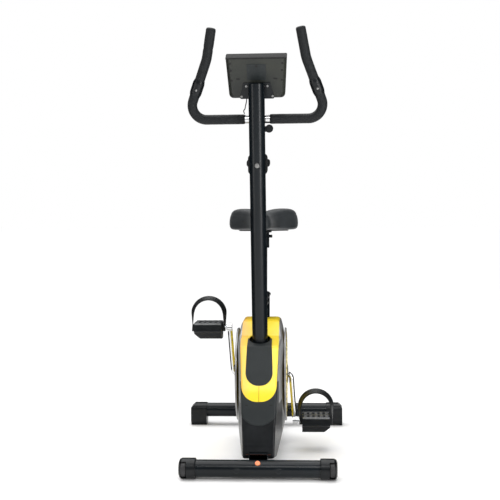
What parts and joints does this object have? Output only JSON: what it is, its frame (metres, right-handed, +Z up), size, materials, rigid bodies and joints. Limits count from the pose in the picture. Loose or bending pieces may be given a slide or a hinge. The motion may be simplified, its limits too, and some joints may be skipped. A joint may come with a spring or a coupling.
{
  "type": "upright magnetic exercise bike",
  "caption": "Upright magnetic exercise bike with leaning mast, console, curved foam handlebar, padded saddle, round drive housing and strapped pedals.",
  "frame": {"origin": "on the floor, midway between the two stabilizer tubes and on the left-right middle", "axes": "-Y is the front of the bike, +X is the rider's left, +Z is up"},
  "size_m": [0.55, 0.762, 1.3147],
  "materials": {
    "frame_black": "black powder coat",
    "steel_chrome": "polished chrome",
    "steel_bright": "zinc-plated steel",
    "black_plastic": "fine-grained black plastic",
    "dark_grey_plastic": "fine-grained dark grey plastic",
    "silver_plastic": "silver-grey plastic",
    "yellow_plastic": "yellow-green plastic",
    "orange_plastic": "orange plastic",
    "foam": "black foam sleeve",
    "vinyl": "dark blue-grey vinyl",
    "rubber": "black rubber",
    "cast_iron": "turned cast iron",
    "screen": "clear screen cover",
    "webbing": "ribbed black strap"
  },
  "bodies": {
    "frame": {"bar_clamp": "steel_bright", "base_frame": "frame_black", "battery_cover": "dark_grey_plastic", "bearing_cups": "steel_bright", "belt": "rubber", "console_back": "dark_grey_plastic", "console_bracket": "frame_black", "console_front": "dark_grey_plastic", "console_lens": "screen", "console_screws": "steel_bright", "disc_left": "yellow_plastic", "disc_right": "yellow_plastic", "fork": "frame_black", "front_cap_left": "black_plastic", "front_cap_right": "black_plastic", "front_panel": "dark_grey_plastic", "front_plug": "orange_plastic", "front_stabilizer": "frame_black", "housing_left": "silver_plastic", "housing_right": "silver_plastic", "lower_fairing": "black_plastic", "mast": "frame_black", "mast_bolt": "steel_bright", "mast_boot": "dark_grey_plastic", "pulse_wire": "rubber", "rear_stabilizer": "frame_black", "seat_bush": "black_plastic", "seat_tube": "frame_black", "stabilizer_bolts": "steel_bright", "stabilizer_nuts": "steel_bright", "tension_base": "black_plastic", "upper_cover": "yellow_plastic", "wheel_axles": "steel_chrome"},
    "crank_set": {"crank": "steel_chrome", "drive_pulley": "black_plastic", "pedal_spindles": "steel_bright"},
    "pedal_left": {"pedal_left": "black_plastic", "strap_left": "webbing"},
    "pedal_right": {"pedal_right": "black_plastic", "strap_right": "webbing"},
    "flywheel": {"flywheel": "cast_iron", "flywheel_shaft": "steel_bright"},
    "magnet_bracket": {"magnet_bracket": "steel_bright"},
    "seat": {"seat_post": "steel_chrome", "saddle_clamp": "frame_black", "saddle_pan": "black_plastic", "saddle": "vinyl"},
    "seat_knob": {"seat_knob": "black_plastic"},
    "handlebar": {"handlebar": "steel_chrome", "foam_left": "foam", "foam_right": "foam", "pulse_sensors": "black_plastic"},
    "clamp_knob": {"clamp_knob": "black_plastic"},
    "tension_knob": {"tension_knob": "black_plastic"},
    "transport_wheel_left": {"transport_wheel_left": "black_plastic"},
    "transport_wheel_right": {"transport_wheel_right": "black_plastic"},
    "rear_cap_left": {"rear_cap_left": "black_plastic"},
    "rear_cap_right": {"rear_cap_right": "black_plastic"},
    "console_button": {"console_button": "yellow_plastic"}
  },
  "joints": [
    {"name": "crank_spin", "type": "hinge", "parent": "frame", "child": "crank_set", "pos_m": [0, 0, 0.245], "axis": [1, 0, 0], "continuous": true},
    {"name": "pedal_left_spin", "type": "hinge", "parent": "crank_set", "child": "pedal_left", "pos_m": [0.174, 0, 0.093], "axis": [1, 0, 0], "continuous": true},
    {"name": "pedal_right_spin", "type": "hinge", "parent": "crank_set", "child": "pedal_right", "pos_m": [-0.174, 0, 0.397], "axis": [1, 0, 0], "continuous": true},
    {"name": "flywheel_spin", "type": "hinge", "parent": "frame", "child": "flywheel", "pos_m": [0, -0.155, 0.16], "axis": [1, 0, 0], "continuous": true},
    {"name": "magnet_swing", "type": "hinge", "parent": "frame", "child": "magnet_bracket", "pos_m": [0, -0.2511, 0.18043], "axis": [1, 0, 0], "range_deg": [0, 7]},
    {"name": "tension_turn", "type": "hinge", "parent": "frame", "child": "tension_knob", "pos_m": [0, -0.18253, 0.91788], "axis": [0, 0.9874, 0.1582], "range_deg": [0, 280]},
    {"name": "seat_slide", "type": "slide", "parent": "frame", "child": "seat", "axis": [0, 0.2588, 0.9659], "range_m": [-0.08, 0.06]},
    {"name": "seat_knob_pull", "type": "slide", "parent": "frame", "child": "seat_knob", "axis": [0, -0.9659, 0.2588], "range_m": [0, 0.01], "stiffness_N_per_m": 900},
    {"name": "handlebar_tilt", "type": "hinge", "parent": "frame", "child": "handlebar", "pos_m": [0, -0.21352, 1.04812], "axis": [1, 0, 0], "range_deg": [-12, 20]},
    {"name": "clamp_knob_turn", "type": "hinge", "parent": "frame", "child": "clamp_knob", "pos_m": [0.034, -0.20878, 1.01849], "axis": [0, 0.9874, 0.1582], "range_deg": [-180, 180]},
    {"name": "wheel_left_roll", "type": "hinge", "parent": "frame", "child": "transport_wheel_left", "pos_m": [0.214, -0.358, 0.03], "axis": [1, 0, 0], "continuous": true},
    {"name": "wheel_right_roll", "type": "hinge", "parent": "frame", "child": "transport_wheel_right", "pos_m": [-0.214, -0.358, 0.03], "axis": [1, 0, 0], "continuous": true},
    {"name": "rear_cap_left_turn", "type": "hinge", "parent": "frame", "child": "rear_cap_left", "pos_m": [0.246, 0.35, 0.052], "axis": [1, 0, 0], "range_deg": [-20, 20]},
    {"name": "rear_cap_right_turn", "type": "hinge", "parent": "frame", "child": "rear_cap_right", "pos_m": [-0.246, 0.35, 0.052], "axis": [1, 0, 0], "range_deg": [-20, 20]},
    {"name": "console_button_press", "type": "slide", "parent": "frame", "child": "console_button", "axis": [0, -0.8746, -0.4848], "range_m": [0, 0.0015], "stiffness_N_per_m": 500}
  ],
  "couplings": [
    {"joint": "crank_spin", "follows": "flywheel_spin", "ratio": 0.14407},
    {"joint": "tension_turn", "follows": "magnet_swing", "ratio": 40}
  ]
}
